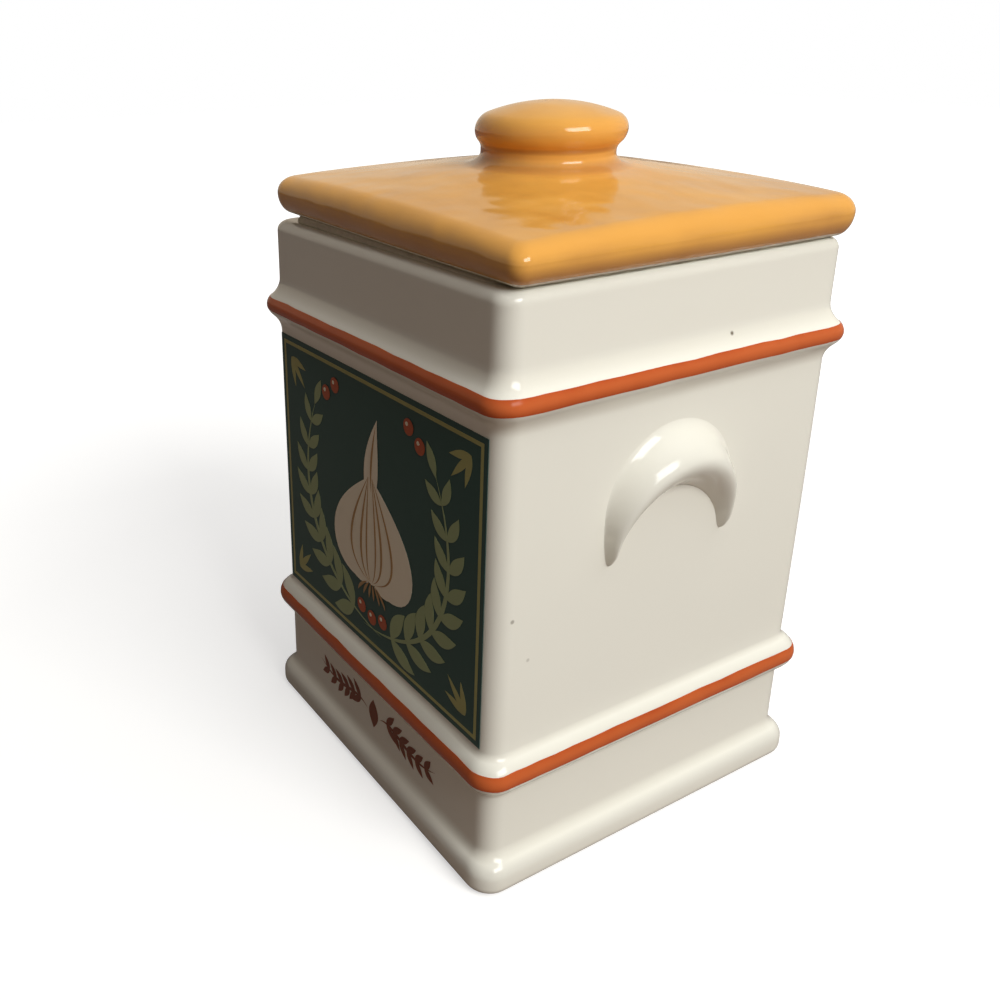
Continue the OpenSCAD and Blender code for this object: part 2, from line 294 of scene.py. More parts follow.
def skin(bm, rings, depths=None, bare=None):
    """Draws edges from ring to ring in an empty mesh. Returns the first and last ring's vertices."""
    depth_layer = bm.verts.layers.float.get("glaze_depth") or bm.verts.layers.float.new("glaze_depth")
    bare_layer = bm.verts.layers.float.get("bare_clay") or bm.verts.layers.float.new("bare_clay")
    first = bmesh.ops.create_circle(bm, segments=len(rings[0]), radius=1)["verts"]
    current = first
    edges = bm.edges[:]
    for k, points in enumerate(rings):
        if k:
            drawn = bmesh.ops.extrude_edge_only(bm, edges=edges)["geom"]
            fresh = {item for item in drawn if isinstance(item, bmesh.types.BMVert)}
            step = {v: e.other_vert(v) for v in current for e in v.link_edges
                    if e.other_vert(v) in fresh}
            current = [step[v] for v in current]
            edges = [e for e in drawn if isinstance(e, bmesh.types.BMEdge) and set(e.verts) <= fresh]
        for vert, point in zip(current, points):
            vert.co = point
            vert[depth_layer] = depths[k] if depths else EVEN
            vert[bare_layer] = bare[k] if bare else 0
    return first, current


def close_pole(bm, verts):
    """Draws a small ring of vertices together into one point."""
    middle = sum((v.co for v in verts), Vector()) / len(verts)
    bmesh.ops.pointmerge(bm, verts=verts, merge_co=middle)


def fired(point):
    """Where a point of the jar ends up after firing: slow bends of the walls, none at the foot."""
    drift = noise.noise_vector(point / bend_span + jar_bend)
    drift.z *= bend_upright
    return point + drift * bend_pull * min(1, point.z / bend_full_z)


def make_piece(bm, name, body, nodes, materials, crease=None):
    """Turns a mesh in millimetres into a piece of the object that rides on its body."""
    bmesh.ops.recalc_face_normals(bm, faces=bm.faces)
    bmesh.ops.scale(bm, vec=(MM, MM, MM), verts=bm.verts)
    data = bpy.data.meshes.new(name)
    bm.to_mesh(data)
    bm.free()
    data.shade_smooth()
    if crease:
        data.set_sharp_from_angle(angle=math.radians(crease))
    for material in materials:
        data.materials.append(material)
    piece = bpy.data.objects.new(name, data)
    scene.collection.objects.link(piece)
    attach(piece, body)
    if nodes:
        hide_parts(*nodes)


# Contrast and sway of the coat, its iron specks, its haze and its fine peel
mottle_contrast = 2.2
mottle_offset = -0.6
depth_sway = 0.16
fleck_scale = 170
fleck_size = 0.045
haze_scale = 260
haze = 0.09
peel_scale = 1100
# Grain and ragged edge of the clay where the coat stops
grit_scale = 900
clay_edge_scale = 140
clay_contrast = 8
clay_offset = -3.5
clay_shade = 0.8
clay_rough = 0.8


def cloud(tree, where, scale, detail):
    """Output of a soft noise of the given scale."""
    return node(tree, "TexNoise", {"Vector": where, "Scale": scale, "Detail": detail}).outputs["Fac"]


def glaze_coat():
    """Shared effect of a fired coat: colour by depth, mottle, iron specks, gloss and slow waves."""
    group = bpy.data.node_groups.new("glaze_coat", "ShaderNodeTree")
    for label in ("Colour", "Thin", "Pooled", "Fleck"):
        group.interface.new_socket(label, in_out="INPUT", socket_type="NodeSocketColor")
    for label in ("Depth", "Mottle", "Mottle Scale", "Fleck Share", "Gloss", "Wave", "Wave Scale",
                  "Peel"):
        group.interface.new_socket(label, in_out="INPUT", socket_type="NodeSocketFloat")
    for label, kind in (("Colour", "Color"), ("Roughness", "Float"), ("Height", "Float")):
        group.interface.new_socket(label, in_out="OUTPUT", socket_type="NodeSocket" + kind)
    given = group.nodes.new("NodeGroupInput").outputs
    result = group.nodes.new("NodeGroupOutput").inputs
    where = node(group, "TexCoord").outputs["Object"]
    clouds = cloud(group, where, given["Mottle Scale"], 4)
    mottle = math_node(group, "MULTIPLY_ADD", clouds, mottle_contrast, mottle_offset, clamp=True)
    blotch = math_node(group, "MULTIPLY", mottle, given["Mottle"])
    sway = math_node(group, "MULTIPLY_ADD", mottle, depth_sway, -depth_sway / 2)
    depth = math_node(group, "ADD", given["Depth"], sway)
    deep = math_node(group, "MULTIPLY_ADD", depth, 2, -1, clamp=True)
    shallow = math_node(group, "MULTIPLY_ADD", depth, -2, 1, clamp=True)
    pooling = math_node(group, "MAXIMUM", deep, blotch)
    colour = mixed(group, pooling, given["Colour"], given["Pooled"])
    colour = mixed(group, shallow, colour, given["Thin"])
    cell = node(group, "TexVoronoi", {"Vector": where, "Scale": fleck_scale, "Randomness": 1})
    small = math_node(group, "LESS_THAN", cell.outputs["Distance"], fleck_size)
    chance = node(group, "SeparateColor", {0: cell.outputs["Color"]}).outputs[0]
    picked = math_node(group, "LESS_THAN", chance, given["Fleck Share"])
    colour = mixed(group, math_node(group, "MULTIPLY", small, picked), colour, given["Fleck"])
    group.links.new(colour, result["Colour"])
    hazy = cloud(group, where, haze_scale, 3)
    group.links.new(math_node(group, "MULTIPLY_ADD", hazy, haze, given["Gloss"]), result["Roughness"])
    slow = math_node(group, "MULTIPLY", cloud(group, where, given["Wave Scale"], 1), given["Wave"])
    fine = math_node(group, "MULTIPLY", cloud(group, where, peel_scale, 2), given["Peel"])
    group.links.new(math_node(group, "ADD", slow, fine), result["Height"])
    return group


coat = glaze_coat()


def fired_finish(name, shine=0.5, clay=None, clay_edge=0.5, specks=(), **values):
    """A fired finish with the glaze coat's values. Where the mesh is marked bare, clay shows instead."""
    material = bpy.data.materials.new(name)
    material.use_nodes = True
    tree = material.node_tree
    shader = tree.nodes["Principled BSDF"]
    shader.inputs["Specular IOR Level"].default_value = shine
    where = node(tree, "TexCoord").outputs["Object"]
    depth = node(tree, "Attribute", attribute_name="glaze_depth").outputs["Fac"]
    layer = tree.nodes.new("ShaderNodeGroup")
    layer.node_tree = coat
    tree.links.new(depth, layer.inputs["Depth"])
    for label, value in values.items():
        layer.inputs[label.replace("_", " ").title()].default_value = value
    colour = layer.outputs["Colour"]
    rough = layer.outputs["Roughness"]
    for place, radius, strength in specks:
        away = node(tree, "VectorMath", {0: where, 1: Vector(place) * MM}, operation="DISTANCE")
        outer, core = radius * MM, radius * MM / 2
        spot = node(tree, "MapRange", {0: away.outputs[1], 1: outer, 2: core, 4: strength})
        colour = mixed(tree, spot.outputs[0], colour, values["fleck"])
    if clay:
        grit = cloud(tree, where, grit_scale, 4)
        edge = cloud(tree, where, clay_edge_scale, 2)
        mark = node(tree, "Attribute", attribute_name="bare_clay").outputs["Fac"]
        ragged = math_node(tree, "MULTIPLY_ADD", edge, clay_edge, -clay_edge / 2)
        shifted = math_node(tree, "ADD", mark, ragged)
        bare = math_node(tree, "MULTIPLY_ADD", shifted, clay_contrast, clay_offset, clamp=True)
        dusty = mixed(tree, grit, clay, [c * clay_shade for c in clay[:3]] + [1])
        colour = mixed(tree, bare, colour, dusty)
        rough = math_node(tree, "MAXIMUM", rough, math_node(tree, "MULTIPLY", bare, clay_rough))
    bump = node(tree, "Bump", {"Height": layer.outputs["Height"], "Distance": MM, "Strength": 1})
    tree.links.new(colour, shader.inputs["Base Color"])
    tree.links.new(rough, shader.inputs["Roughness"])
    tree.links.new(bump.outputs["Normal"], shader.inputs["Normal"])
    return material


# The darker thin colour on every round, crest and lug front is in part glaze running thin and in part
# painted shade that holds down their lit tops.
white_glaze = fired_finish(
    "white_glaze", shine=0.35, clay=(0.70, 0.62, 0.50, 1), colour=(0.80, 0.79, 0.71, 1),
    thin=(0.72, 0.712, 0.64, 1), pooled=(0.77, 0.755, 0.67, 1), fleck=(0.12, 0.09, 0.06, 1), mottle=0.35,
    mottle_scale=45, fleck_share=0.03, gloss=0.07, wave=0.05, wave_scale=70, peel=0.004,
    specks=(((28, 7.3, 71.0), 0.42, 1), ((28, -25.3, 40.5), 0.36, 0.55), ((28, -22.6, 34.2), 0.32, 0.3)))

foot_section = arc(foot_out - foot_low_r, foot_low_r, foot_low_r, -90, 0, THIN)
foot_section += upper_half(foot_out, foot_z, foot_round_r, foot_cove_r)
rim_section = arc(-rim_r, rim_z - rim_r, rim_r, 0, 90, THIN)
lower_bead = bead(lower_out, lower_z, *lower_round)
upper_bead = bead(upper_out, upper_z, *upper_round)
outside = joined(foot_section, lower_bead, upper_bead, rim_section)
lip = arc(lip_r - wall, rim_z - lip_r, lip_r, 90, 180, THIN)
floor_turn = arc(-wall - inside_floor_r, inside_floor_z + inside_floor_r, inside_floor_r,
                 0, -90, POOLED)
inside = joined(lip, floor_turn)
hollow_half = panel_half + foot_out - foot_ring_w
hollow_edge = 0.3
# Shares of the width at which the flats under and inside the jar have their rings
under_shares = (0.02, 0.5, 0.96)
floor_shares = (0.97, 0.5, 0.02)
# The clay is bare from the hollow's wall to the start of the foot's round
foot_bare = [0, 0, 0, 0, 0, 0.6, 1, 1, 1, 0.7]

rings = [ring(hollow_half * share, inside_r * share, foot_hollow) for share in under_shares]
rings.append(ring(hollow_half - hollow_edge, inside_r - hollow_edge, foot_hollow))
rings.append(ring(hollow_half, inside_r, foot_hollow - hollow_edge))
rings.append(ring(hollow_half, inside_r, hollow_edge))
rings.append(ring(hollow_half + hollow_edge, inside_r + hollow_edge, 0))
rings.append(around(foot_out - foot_low_r - hollow_edge, 0))
under_count = len(rings)
rings += [around(out, z) for out, z, _ in outside]
rings += [ring(panel_half + out, inside_r + wall + out, z) for out, z, _ in inside]
floor_half = panel_half - wall - inside_floor_r
floor_corner = inside_r - inside_floor_r
rings += [ring(floor_half * share, floor_corner * share, inside_floor_z) for share in floor_shares]
depths = [EVEN] * under_count + [p[2] for p in outside + inside] + [EVEN] * len(floor_shares)
bare = foot_bare + [0] * (len(rings) - len(foot_bare))
jar_mesh = bmesh.new()
bottom, middle = skin(jar_mesh, [[fired(p) for p in points] for points in rings], depths, bare)
close_pole(jar_mesh, bottom)
close_pole(jar_mesh, middle)
make_piece(jar_mesh, "jar_casting", "jar", ["jar_body"], [white_glaze])


# Lug handles
# Two arched lugs of clay under the upper bead, one on each side wall, moulded with the jar and
# glazed with it. Fingers hook under the arch, which stands out furthest at its top.
lug_low, lug_high = (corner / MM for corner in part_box("right_lug"))
lug_outer_r = 11.1
lug_leg_h = 18
lug_legs = 6.8
lug_inner_r = 9.7
lug_drop = 8.1
lug_tip_w = 1.5
lug_out = lug_high.x - panel_half
lug_tip_out = 1.1
lug_ridge = 0.45
lug_fall = 0.9
lug_round = 0.88
lug_sink = 0.06
lug_root = 0.5
lug_grid = (72, 26)
lug_y = (lug_low.y + lug_high.y) / 2
lug_z = lug_high.z - lug_outer_r
outer_end = math.acos(-lug_legs / lug_leg_h)
inner_end = math.acos((lug_drop - lug_legs) / lug_inner_r)


def lug_point(along, across):
    """Place on the right lug: along runs from leg to leg, -1 to 1, across from the hollow, 0 to 1."""
    turn = along * outer_end
    height = lug_outer_r if math.cos(turn) > 0 else lug_leg_h
    outer = Vector((lug_outer_r * math.sin(turn), height * math.cos(turn)))
    inner = lug_inner_r * Vector((math.sin(along * inner_end), math.cos(along * inner_end)))
    inner.y -= lug_drop
    nose = max(0, (abs(along) - lug_round) / (1 - lug_round))
    blunt = math.sqrt(max(0, 1 - nose * nose))
    span = outer - inner
    width = math.hypot(span.length, lug_tip_w) * blunt
    place = (outer + inner) / 2 + span.normalized() * width * (across - 0.5)
    if across < lug_ridge:
        hump = math.sin(math.pi / 2 * across / lug_ridge)
    else:
        hump = (1 + math.cos(math.pi * (across - lug_ridge) / (1 - lug_ridge))) / 2
    fall = max(0, math.cos(math.pi / 2 * along)) ** lug_fall
    rise = (lug_tip_out + (lug_out - lug_tip_out) * fall) * hump * blunt
    return Vector((panel_half - lug_sink + rise, lug_y + place.x, lug_z + place.y))


for name, side in (("right_lug", 1), ("left_lug", -1)):
    lug = bmesh.new()
    bmesh.ops.create_grid(lug, x_segments=lug_grid[0], y_segments=lug_grid[1], size=1)
    depth_layer = lug.verts.layers.float.new("glaze_depth")
    for vert in lug.verts:
        spot = lug_point(math.sin(math.pi / 2 * vert.co.x), (vert.co.y + 1) / 2)
        # The lug's front takes the glaze's darker thin colour, in part painted shade on its lit top.
        vert[depth_layer] = EVEN + (THIN - EVEN) * (spot.x - panel_half) / lug_out
        spot.x *= side
        vert.co = fired(spot)
    bmesh.ops.remove_doubles(lug, verts=lug.verts, dist=weld)
    border = [edge for edge in lug.edges if edge.is_boundary]
    sunk = bmesh.ops.extrude_edge_only(lug, edges=border)["geom"]
    sunk_verts = [item for item in sunk if isinstance(item, bmesh.types.BMVert)]
    bmesh.ops.translate(lug, vec=(-lug_root * side, 0, 0), verts=sunk_verts)
    bmesh.ops.holes_fill(lug, edges=[edge for edge in lug.edges if edge.is_boundary])
    make_piece(lug, name + "_arch", "jar", [name], [white_glaze], crease=70)


# Enamel lines
# An orange line round the crest of each bead, laid on with a brush over the glaze and fired
# again. Its edges waver a little, and the coat is thinner where the brush ran dry.
line_t = 0.035
line_tuck = 0.2
line_waver = 0.16
line_waver_span = 3.2
line_steps = 12
orange_enamel = fired_finish(
    "orange_enamel", shine=0.12, colour=(0.49, 0.086, 0.018, 1), thin=(0.55, 0.12, 0.032, 1),
    pooled=(0.41, 0.062, 0.014, 1), fleck=(0.3, 0.05, 0.02, 1), mottle=0.8, mottle_scale=190,
    fleck_share=0.02, gloss=0.12, wave=0.02, wave_scale=160, peel=0.006)

for name, z, out, round_r in (("lower_band", lower_z, lower_out, lower_round[0]),
                              ("upper_band", upper_z, upper_out, upper_round[0])):
    low_turn, high_turn = (math.asin((corner.z / MM - z) / round_r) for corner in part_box(name))
    stations = [(k / line_steps, line_t) for k in range(line_steps + 1)]
    stations += [(1, -line_tuck), (0.5, -line_tuck), (0, -line_tuck), (0, line_t)]
    rings = []
    depths = []
    for share, lift in stations:
        turn = low_turn + (high_turn - low_turn) * share
        sway = line_waver / round_r * abs(2 * share - 1)
        arm = round_r + lift
        below, above = (around(out - round_r + arm * math.cos(t), z + arm * math.sin(t))
                        for t in (turn - sway, turn + sway))
        shares = [0.5 + 0.5 * noise.noise(p / line_waver_span) for p in below]
        rings.append([fired(a.lerp(b, s)) for a, b, s in zip(below, above, shares)])
        depths.append(EVEN + (THIN - EVEN) * math.sin(math.pi * share))
    line = bmesh.new()
    skin(line, rings, depths)
    bmesh.ops.remove_doubles(line, verts=line.verts, dist=weld)
    make_piece(line, name + "_enamel", "jar", [name], [orange_enamel], crease=50)


# Front print
# A ceramic transfer on the front panel: a dark green field with a thin old-gold line near its
# edge, and a bulb of garlic in a wreath of herbs, printed in cream, sage, tan and brick.
film_t = 0.07
film_margin = 1.1
gold_line_w = 0.8
ink_t = 0.02
ink_weld = 0.0005
ink_dark = 0.8
ink_light = 1.12
print_low, print_high = (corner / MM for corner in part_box("front_decal"))
print_middle = Vector((0, (print_low.z + print_high.z) / 2))
print_half = Vector((print_high.x, (print_high.z - print_low.z) / 2))


def ink(name, colour, vary=0.5):
    """A fired print colour: even, a little cloudy, and less glossy than the glaze round it."""
    dark = tuple(c * ink_dark for c in colour) + (1,)
    light = tuple(min(1, c * ink_light) for c in colour) + (1,)
    return fired_finish(
        name, shine=0.06, colour=colour + (1,), thin=light, pooled=dark, fleck=dark, mottle=vary,
        mottle_scale=240, fleck_share=0.05, gloss=0.26, wave=0.03, wave_scale=75, peel=0.004)


green_print = ink("green_print", (0.038, 0.084, 0.075))
gold_print = ink("gold_print", (0.36, 0.36, 0.15))
cream_print = ink("cream_print", (0.78, 0.73, 0.60))
sage_print = ink("sage_print", (0.30, 0.37, 0.20))
tan_print = ink("tan_print", (0.40, 0.25, 0.12))
brick_print = ink("brick_print", (0.42, 0.10, 0.045))

film = bmesh.new()
film_place = Matrix.Translation((0, -panel_half - film_t / 2, print_middle.y))
film_size = Matrix.Diagonal((2 * print_half.x, film_t, 2 * print_half.y, 1))
bmesh.ops.create_cube(film, size=1, matrix=film_place @ film_size)
front = [face for face in film.faces if face.normal.y < -0.5]
bmesh.ops.inset_region(film, faces=front, thickness=film_margin)
gold_line = bmesh.ops.inset_region(film, faces=front, thickness=gold_line_w)["faces"]
for face in gold_line:
    face.material_index = 1
bmesh.ops.subdivide_edges(film, edges=film.edges, cuts=9, use_grid_fill=True)
for vert in film.verts:
    vert.co = fired(vert.co)
make_piece(film, "print_field", "jar", ["front_decal"], [green_print, gold_print],
           crease=40)


def along(path, share):
    """Place and heading on a bent line through two to four guide points."""
    points = [Vector(p) for p in path]
    while len(points) > 2:
        points = [a.lerp(b, share) for a, b in zip(points, points[1:])]
    return points[0].lerp(points[1], share), (points[1] - points[0]).normalized()


def stroke(bm, path, width, lift, belly=1.0, steps=14):
    """Lays a pointed stroke of ink along a bent line on the wall. Belly moves its widest place."""
    laid = bmesh.ops.create_grid(bm, x_segments=steps, y_segments=1, size=1)["verts"]
    for vert in laid:
        share = (vert.co.x + 1) / 2
        place, heading = along(path, share)
        reach = vert.co.y * width / 2 * math.sin(math.pi * share ** belly)
        aside = Vector((-heading.y, heading.x)) * reach
        vert.co = (place.x + aside.x, -panel_half - lift, place.y + aside.y)


def dot(bm, place, radius, lift):
    """Lays a round dot of ink on the front wall."""
    spot = Matrix.Translation((place[0], -panel_half - lift, place[1]))
    facing = spot @ Matrix.Rotation(math.pi / 2, 4, "X")
    bmesh.ops.create_circle(bm, cap_ends=True, segments=24, radius=radius, matrix=facing)


def print_ink(bm, name, node_names, material):
    """Gives a colour's strokes their thickness and lays them on the fired wall."""
    bmesh.ops.remove_doubles(bm, verts=bm.verts, dist=ink_weld)
    raised = bmesh.ops.extrude_face_region(bm, geom=bm.faces[:], use_keep_orig=True)["geom"]
    raised_verts = [item for item in raised if isinstance(item, bmesh.types.BMVert)]
    bmesh.ops.translate(bm, vec=(0, -ink_t, 0), verts=raised_verts)
    for vert in bm.verts:
        vert.co = fired(vert.co)
    make_piece(bm, name, "jar", node_names, [material], crease=40)


def on_print(*points):
    """Points given from the middle of the print, as points on the wall."""
    return [(x + print_middle.x, z + print_middle.y) for x, z in points]


# Each stroke lies a hair higher than the one before it
first_lift = film_t + 0.004
hair = 0.0012
over_leaves = first_lift + 50 * hair
leaf_pairs = 9
leaf_first = 0.16
leaf_step = 0.095
leaf_turn = 40
leaf_bend = 52
leaf_l = 6.6
leaf_w = 2.5
corner_gap = 1.2

sage = bmesh.new()
lift = first_lift
for side in (-1, 1):
    stem = on_print((side * -2.6, -17.6), (side * 15, -17), (side * 24, -3), (side * 15.5, 13.2))
    stroke(sage, stem, 0.8, lift, steps=28)
    for k in range(leaf_pairs):
        place, heading = along(stem, leaf_first + leaf_step * k)
        length = leaf_l - 0.28 * k
        for hand in (-1, 1):
            lift += hair
            turn = Matrix.Rotation(math.radians(hand * leaf_turn), 2)
            bend = Matrix.Rotation(math.radians(hand * leaf_bend), 2)
            guides = (place, place + bend @ heading * (length * 0.55), place + turn @ heading * length)
            stroke(sage, guides, leaf_w - 0.1 * k, lift, belly=0.85)
    lift += hair
    end, heading = along(stem, 0.985)
    stroke(sage, (end, end + heading * 4.8), 1.7, lift)
print_ink(sage, "print_herb_leaves", [], sage_print)

gold = bmesh.new()
lift = first_lift
corner_x = print_half.x - film_margin - gold_line_w - corner_gap
corner_y = print_half.y - film_margin - gold_line_w - corner_gap
for side_x in (-1, 1):
    for side_y in (-1, 1):
        for angle, length in ((45, 5.6), (14, 4.6), (76, 4.6)):
            lift += hair
            turn = math.radians(angle)
            way = Vector((math.cos(turn) * -side_x, math.sin(turn) * -side_y))
            start = Vector((corner_x * side_x, corner_y * side_y))
            stroke(gold, on_print(start, start + way * length), 1.1, lift, belly=0.8)
print_ink(gold, "print_corner_sprays", [], gold_print)

cream = bmesh.new()
lift = over_leaves
for side, bulge, width in ((-1, 13.5, 5.0), (1, 13.5, 5.0), (-1, 8.2, 6.6), (1, 8.2, 6.6), (1, 0, 8.4)):
    lift += hair
    bulge *= side
    clove = on_print((bulge * 0.1, -10.2), (bulge, -8.4), (bulge * 0.5, 0.2), (side * 0.6, 6.4))
    stroke(cream, clove, width, lift, belly=0.8, steps=24)
lift += hair
stroke(cream, on_print((0, 1.5), (-0.4, 9), (1.9, 15.6)), 3.6, lift, belly=0.75, steps=20)
print_ink(cream, "print_bulb", [], cream_print)

tan = bmesh.new()
lift = over_leaves + ink_t + 12 * hair
for side in (-1, 1):
    for bulge, width in ((4.6, 0.55), (9.2, 0.5), (2.0, 0.4)):
        lift += hair
        bulge *= side
        seam = on_print((bulge * 0.1, -9.8), (bulge, -7.6), (bulge * 0.5, 0.2), (side * 0.5, 6.6))
        stroke(tan, seam, width, lift, steps=24)
    for reach in (0.6, 2.0, 3.4):
        lift += hair
        reach *= side
        stroke(tan, on_print((reach * 0.3, -10.0), (reach, -11.4), (reach * 1.1, -12.6)), 0.5, lift)
lift += hair
stroke(tan, on_print((0.2, 4.5), (-0.1, 9), (1.6, 14.6)), 0.45, lift, steps=18)
print_ink(tan, "print_bulb_lines", [], tan_print)

brick = bmesh.new()
shine = bmesh.new()
lift = over_leaves
for place in ((0, -15.6), (-2.9, -14.9), (2.9, -14.9), (-12.2, 15.4), (-9.6, 17.2), (12.2, 15.4),
              (9.6, 17.2)):
    spot = on_print(place)[0]
    dot(brick, spot, 1.15, lift)
    dot(shine, (spot[0] - 0.35, spot[1] + 0.35), 0.3, lift + ink_t + hair)
print_ink(brick, "print_peppercorns", [], brick_print)
print_ink(shine, "print_peppercorn_lights", [], cream_print)


# Plinth print
# A small brown transfer on the plinth under the front panel: a spray of leaves that runs out
# to both sides of a diamond.
brown_print = ink("brown_print", (0.20, 0.062, 0.03))
plinth_low, plinth_high = (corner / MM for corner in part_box("plinth_decal"))
plinth_z = (plinth_low.z + plinth_high.z) / 2
spray_half = (plinth_high.x - plinth_low.x) / 2 * 0.86
brown = bmesh.new()
lift = 0.012
stroke(brown, ((0, plinth_z - 2.5), (0, plinth_z + 2.5)), 2.6, lift, steps=10)
for side in (-1, 1):
    lift += hair
    bends = ((1.8, 0), (spray_half * 0.35, 2.2), (spray_half * 0.6, -2.6), (spray_half, 0.6))
    stem = [(side * x, plinth_z + z) for x, z in bends]
    stroke(brown, stem, 0.6, lift, steps=28)
    for k in range(6):
        place, heading = along(stem, 0.16 + 0.14 * k)
        for hand in (-1, 1):
            lift += hair
            tip = place + Matrix.Rotation(math.radians(hand * 42), 2) @ heading * (3.2 - 0.12 * k)
            stroke(brown, (place, tip), 1.15, lift, belly=0.8, steps=10)
print_ink(brown, "plinth_spray", ["plinth_decal"], brown_print)


# Lid
# A pillowed square plate with a round knob, and below it a hollow square plug that keeps the
# lid in place; one casting, glazed amber down to the rim line and left as bare clay below it.
lid_low, lid_high = (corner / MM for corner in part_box("lid"))
lid_inset = 0.95
lid_half = lid_high.x - lid_inset
lid_r = 3.3
lid_seat = 1.2
lid_h = 5.1
lid_low_r = 2.2
lid_low_h = 2.7
lid_high_r = 2.4
lid_crown = 1
plate_z = rim_z + lid_seat
lid_top = plate_z + lid_h
seat_in = 1.4
seat_half = panel_half - seat_in
seat_corner = 5.5
seat_edge = 0.35
# Step of the plate's lower edge at which the glaze starts, and how fast the clay fades there
glaze_line = 4.8
clay_fade = 0.4
# Its corner between the print and the right lug is sharper, stands in a little and droops
near_r = 1.6
near_growth = 0.45
near_slide = Vector((0, 0.4, 0))
near_droop = 0.4
# In firing the plate leaned, slid and sagged a little on its seat, and the knob went askew
lid_lean = -0.016
lid_wedge = -0.004
lid_sag = 0.66
lid_slide = Vector((0.3, 0.25, 0))
plate_slide = Vector((0.28, 0.33, 0))
knob_slide = Vector((0.3, 0.5, 0))
lid_bend = Vector((9.4, 2.2, 5.8))
lid_bend_span = 38
plug_bottom = lid_low.z
plug_gap = 1.2
plug_half = panel_half - wall - plug_gap
plug_corner = 2.3
plug_r = 1
plug_wall = 3.2
plug_hollow_half = plug_half - plug_wall
plug_hollow_r = 3
plate_t = 4.6
plug_hollow_top = lid_top - plate_t
groove = 0.9
groove_low, groove_high = (corner.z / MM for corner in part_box("lid_seal"))
knob_r = 10.15
neck_r = 9.05
knob_top = lid_high.z
knob_dome_h = 3.7
knob_z = knob_top - knob_dome_h
knob_edge_r = 2.25
knob_cove_r = 1.5
knob_foot_w = 3
knob_foot_h = 1.7
# The plate swells up to the knob's neck
knob_swell = 1.5
swell_span = 12
# Steps of the section, and where its rings stop short of the middle
edge_steps = 12
top_steps = 12
ceiling_shares = (0.02, 0.5, 0.9)
pole_angle = 89.6

# The darker pooled colour in the lid's lower edge and round the knob's neck is in part pooled glaze and
# in part painted shade under the plate and the knob's head.
amber_glaze = fired_finish(
    "amber_glaze", shine=0.4, clay=(0.84, 0.79, 0.67, 1), clay_edge=0.4, colour=(0.83, 0.41, 0.074, 1),
    thin=(0.75, 0.36, 0.066, 1), pooled=(0.53, 0.24, 0.058, 1), fleck=(0.22, 0.09, 0.03, 1), mottle=0.62,
    mottle_scale=75, fleck_share=0.04, gloss=0.06, wave=0.34, wave_scale=160, peel=0.004,
    specks=(((-18.3, -7.2, 88.55), 0.4, 0.8),))

crown_span = lid_half - lid_high_r


def nearness(point):
    """How near a point of the lid is to its sharper corner, 0 to 1."""
    return max(0, min(1, (point.x - point.y) / (2 * lid_half))) ** 3


def crowned(point, share):
    """Lifts or drops a point of the lid's top onto its dome and swell, by the given share."""
    reach = math.hypot(point.x, point.y)
    square = (point.x ** 4 + point.y ** 4) ** 0.25
    blend = reach + (square - reach) * min(1, reach / crown_span) ** 2
    rise = lid_crown * (1 - (blend / crown_span) ** 2)
    rise += knob_swell * math.exp(-((reach - neck_r) / swell_span) ** 2)
    return Vector((point.x, point.y, point.z + rise * share))


def plate_ring(out, z):
    """Ring of points round the lid's plate at a distance out from its edge."""
    soft = ring(lid_half + out, lid_r + out, z)
    sharp = ring(lid_half + out, near_r + near_growth * out, z)
    return [a.lerp(b, nearness(a)) for a, b in zip(soft, sharp)]


def rounded(points, share):
    """Draws a square ring of points towards a circle."""
    half = max(p.x for p in points)
    circle = [Vector((p.x, p.y, 0)).normalized() * half + Vector((0, 0, p.z)) for p in points]
    return [p.lerp(q, share) for p, q in zip(points, circle)]


# From the ceiling of the hollow, down its wall, round the plug and out to the lid's edge
rings = []
depths = []
bare = []


def add_ring(points, depth=EVEN, clay=0):
    """Adds a ring of points to the lid, with its depth of glaze and its share of bare clay."""
    rings.append(points)
    depths.append(depth)
    bare.append(clay)


for share in ceiling_shares:
    add_ring(ring(plug_hollow_half * share, plug_hollow_r * share, plug_hollow_top), clay=1)
hollow_section = joined(arc(-plug_r, plug_hollow_top - plug_r, plug_r, 90, 0),
                        arc(plug_r, plug_bottom + plug_r, plug_r, 180, 270))
for d, z, _ in hollow_section:
    add_ring(ring(plug_hollow_half + d, plug_hollow_r + d, z), clay=1)
corners = ((0, groove_low), (-groove, groove_low), (-groove, groove_high), (0, groove_high), (0, rim_z))
groove_section = joined(arc(-plug_r, plug_bottom + plug_r, plug_r, -90, 0),
                        *[[(d, z, EVEN)] for d, z in corners])
for d, z, _ in groove_section:
    add_ring(ring(plug_half + d, plug_corner + d, z), clay=1)
seat_section = joined([(plug_half - seat_half, rim_z, EVEN)],
                      arc(-seat_edge, rim_z + seat_edge, seat_edge, -90, 0, steps=3),
                      arc(seat_edge, plate_z - seat_edge, seat_edge, 180, 90, steps=3))
for d, z, _ in seat_section:
    add_ring(ring(seat_half + d, max(plug_corner, seat_corner + d), z), clay=1)
